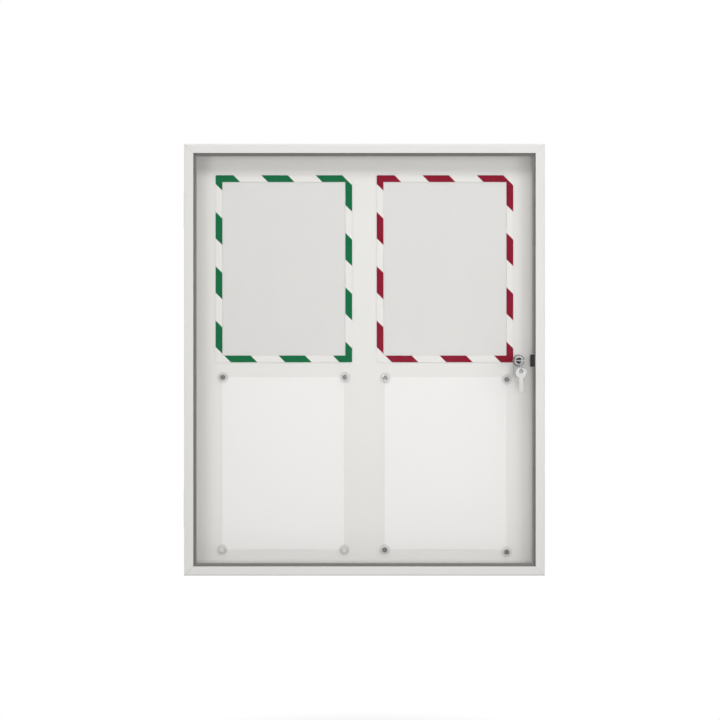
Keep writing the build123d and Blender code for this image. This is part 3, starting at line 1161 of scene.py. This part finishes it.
@dataclass
class CrossScrew:
    """A countersunk screw with a cross recess, head upwards at the origin."""

    head: float
    shank: float
    cone: float
    length: float
    recess: float
    slot_share: float = 0.3
    recess_depth: float = 0.7 * MM
    taper: float = 0.7
    facets: int = 12

    def add(self, shape: bmesh.types.BMesh, place: Matrix) -> None:
        """Model the screw and set it in place.

        Args:
            shape: The shape that takes the screw.
            place: Where the head's top is, with +Z out of the head.
        """
        before = set(shape.verts)
        grid = bmesh.ops.create_grid(shape, x_segments=3, y_segments=3, size=self.recess)
        narrow = self.recess * self.slot_share
        for vert in grid["verts"]:
            for axis in (0, 1):
                if abs(vert.co[axis]) < self.recess / 2:
                    vert.co[axis] = math.copysign(narrow, vert.co[axis])
        top = {face for vert in grid["verts"] for face in vert.link_faces}
        rim = [edge for edge in shape.edges if edge.is_boundary and edge.verts[0] not in before]
        circle = bmesh.ops.create_circle(
            shape,
            segments=self.facets,
            radius=self.head,
            matrix=Matrix.Rotation(math.pi / 4, 4, "Z"),
        )
        outer = list({edge for vert in circle["verts"] for edge in vert.link_edges})
        bmesh.ops.bridge_loops(shape, edges=rim + outer)
        slots = [
            face
            for face in top
            if min(abs(face.calc_center_median().x), abs(face.calc_center_median().y)) < narrow
        ]
        sunk = bmesh.ops.extrude_face_region(shape, geom=slots)["geom"]
        sunk = [item for item in sunk if isinstance(item, bmesh.types.BMVert)]
        bmesh.ops.scale(shape, vec=(self.taper, self.taper, 1), verts=sunk)
        bmesh.ops.translate(shape, vec=(0, 0, -self.recess_depth), verts=sunk)
        bmesh.ops.delete(shape, geom=slots, context="FACES")
        below = outer
        for drop, width in ((self.cone, self.shank / self.head), (self.length - self.cone, 1.0)):
            grown = bmesh.ops.extrude_edge_only(shape, edges=below)["geom"]
            below = [item for item in grown if isinstance(item, bmesh.types.BMEdge)]
            verts = [item for item in grown if isinstance(item, bmesh.types.BMVert)]
            bmesh.ops.scale(shape, vec=(width, width, 1), verts=verts)
            bmesh.ops.translate(shape, vec=(0, 0, -drop), verts=verts)
        bmesh.ops.holes_fill(shape, edges=below)
        made = [vert for vert in shape.verts if vert not in before]
        bmesh.ops.transform(shape, matrix=place, verts=made)


@dataclass
class HingePair:
    """Both butt hinges: leaves with eased edges, and cross-recessed screws."""

    finishes: FinishSet
    easing: float = 0.12 * MM
    cone: float = 1.0 * MM
    shank: float = 1.3 * MM
    recess: float = 1.3 * MM
    screw_sharp: float = 25.0

    def build(self) -> Pieces:
        """Ease the leaves and pins, put in the screws, and return them all."""
        bodies = {"case_leaf": Body.CASE, "door_leaf": Body.DOOR, "pin": Body.CASE}
        pieces = [
            self.finishes.eased(f"{place}_hinge_{part}", body, self.easing)
            for place in ("upper", "lower")
            for part, body in bodies.items()
        ]
        pieces.append(self.screws("hinge_case_screws", Body.CASE, toward_viewer=True))
        pieces.append(self.screws("hinge_door_screws", Body.DOOR, toward_viewer=False))
        return pieces

    def screws(self, node: str, body: Body, toward_viewer: bool) -> bpy.types.Object:
        """Put one leaf's row of screws in.

        Args:
            node: The CAD node of the screws.
            body: The body that they ride on.
            toward_viewer: Whether their heads face the viewer.

        Returns:
            The row of screws.
        """
        shape = bmesh.new()
        turn = Matrix.Rotation(math.pi / 2 if toward_viewer else -math.pi / 2, 4, "X")
        for low, high in islands_of(node):
            head = (high.x - low.x) / 2
            screw = CrossScrew(head, self.shank, self.cone, high.y - low.y, self.recess)
            face = low.y if toward_viewer else high.y
            place = Vector(((low.x + high.x) / 2, face, (low.z + high.z) / 2))
            screw.add(shape, Matrix.Translation(place) @ turn)
        bmesh.ops.recalc_face_normals(shape, faces=shape.faces)
        return self.finishes.piece(f"cross_{node}", shape, body, node, sharp=self.screw_sharp)


@dataclass
class Softbox:
    """A rectangular soft light that looks at the origin, the middle of the case."""

    name: str
    place: Vector
    width: float
    height: float
    power: float

    def build(self) -> None:
        """Hang the light."""
        light = bpy.data.lights.new(self.name, "AREA")
        light.shape = "RECTANGLE"
        light.size = self.width
        light.size_y = self.height
        light.energy = self.power
        made = bpy.data.objects.new(self.name, light)
        made.location = self.place
        made.rotation_euler = (-self.place).to_track_quat("-Z", "Y").to_euler()
        bpy.context.scene.collection.objects.link(made)


@dataclass
class Studio:
    """White background, pale floor, soft lights and the camera of the photograph."""

    ambient: float = 0.38
    room: float = 0.15
    backdrop_middle: float = 0.5
    backdrop_slope: float = 1.2
    rim: float = 1.2
    rim_depth: float = 0.15
    rim_spread: float = 0.4
    rim_rise: float = 2.0
    floor_drop: float = 0.60
    floor_radius: float = 1.15
    floor_fade: float = 2.5
    floor_facets: int = 96
    floor_roughness: float = 0.9
    floor_colour: Colour = (0.54, 0.54, 0.53)
    camera_distance: float = 1.9
    picture_width: float = 1.215
    picture_centre: tuple[float, float] = (-7.6 * MM, -0.5 * MM)
    sensor: float = 36.0

    def build(self) -> None:
        """Set up the world, the floor, the lights and the camera."""
        self.world()
        self.floor()
        for softbox in (
            Softbox("front_softbox", Vector((0.15, -2.2, -0.1)), width=0.4, height=0.4, power=9.6),
            Softbox("left_softbox", Vector((-1.1, -1.6, 0.0)), width=0.8, height=0.8, power=6.4),
            Softbox("right_softbox", Vector((0.85, -1.1, 0.1)), width=0.6, height=0.6, power=3.5),
            Softbox("overhead_softbox", Vector((0.1, -1.2, 1.2)), width=1.6, height=0.5, power=9.8),
        ):
            softbox.build()
        self.camera()

    def world(self) -> None:
        """Show white to the camera, and light the case from a backdrop, a rim and a dimmer room."""
        scene = bpy.context.scene
        scene.world = bpy.data.worlds.new("studio_white")
        scene.world.use_nodes = True
        scene.view_settings.view_transform = "Standard"
        graph = Graph(scene.world.node_tree)
        rays = graph.node("ShaderNodeLightPath")
        camera, glossy, through = (
            Value(graph, rays.outputs[f"Is {kind} Ray"])
            for kind in ("Camera", "Glossy", "Transmission")
        )
        _, y, z = graph.axes("Generated")
        backdrop = (self.backdrop_middle + self.backdrop_slope * y).within()
        front = self.ambient + glossy * (self.room - self.ambient)
        belt = (1 - abs(y - self.rim_depth) / self.rim_spread).within()
        rim = self.rim * belt * (1 + self.rim_rise * z).within()
        surround = front + (1 - front) * backdrop + rim
        seen = (camera + through).within()
        strength = surround + (1 - surround) * seen
        light = graph.value(
            "ShaderNodeBackground", 0, inputs={"Color": (1.0, 1.0, 1.0, 1.0), "Strength": strength}
        )
        graph.node("ShaderNodeOutputWorld", inputs={"Surface": light})

    def floor(self) -> None:
        """Lay a pale round floor below the case that fades out towards its rim."""
        low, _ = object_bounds()
        shape = bmesh.new()
        bmesh.ops.create_circle(
            shape,
            cap_ends=True,
            segments=self.floor_facets,
            radius=self.floor_radius,
            matrix=Matrix.Translation((0, 0, low.z - self.floor_drop)),
        )
        mesh = bpy.data.meshes.new("floor")
        shape.to_mesh(mesh)
        shape.free()
        material = bpy.data.materials.new("pale_floor")
        material.use_nodes = True
        graph = Graph(material.node_tree)
        x, y, _ = graph.axes()
        reach = graph.math("SQRT", x**2 + y**2) / self.floor_radius
        graph.surface(
            Base_Color=self.floor_colour,
            Roughness=self.floor_roughness,
            Alpha=((1 - reach) * self.floor_fade).within(),
        )
        mesh.materials.append(material)
        floor = bpy.data.objects.new("floor", mesh)
        bpy.context.scene.collection.objects.link(floor)
        floor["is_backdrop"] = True

    def camera(self) -> None:
        """Stand the camera straight in front of the door."""
        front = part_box("door_frame_top")[0].y
        data = bpy.data.cameras.new("photo_camera")
        data.sensor_width = self.sensor
        data.lens = self.sensor * self.camera_distance / self.picture_width
        camera = bpy.data.objects.new("photo_camera", data)
        x, z = self.picture_centre
        camera.location = (x, front - self.camera_distance, z)
        camera.rotation_euler = (math.pi / 2, 0.0, 0.0)
        bpy.context.scene.collection.objects.link(camera)
        bpy.context.scene.camera = camera


def main() -> None:
    """Dress the CAD part, add the finer pieces and set up the studio."""
    logging.basicConfig(level=logging.INFO, format="%(message)s")
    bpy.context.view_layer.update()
    finishes = FinishSet()
    finishes.dress()
    for assembly in (
        SealSet(finishes),
        NoticeSheets(finishes),
        MagnetSet(finishes),
        CamLock(finishes),
        KeySet(finishes),
        HingePair(finishes),
    ):
        for piece in assembly.build():
            LOG.info("%s: %d faces", piece.name, len(piece.data.polygons))
    Studio().build()


if __name__ == "__main__":
    main()
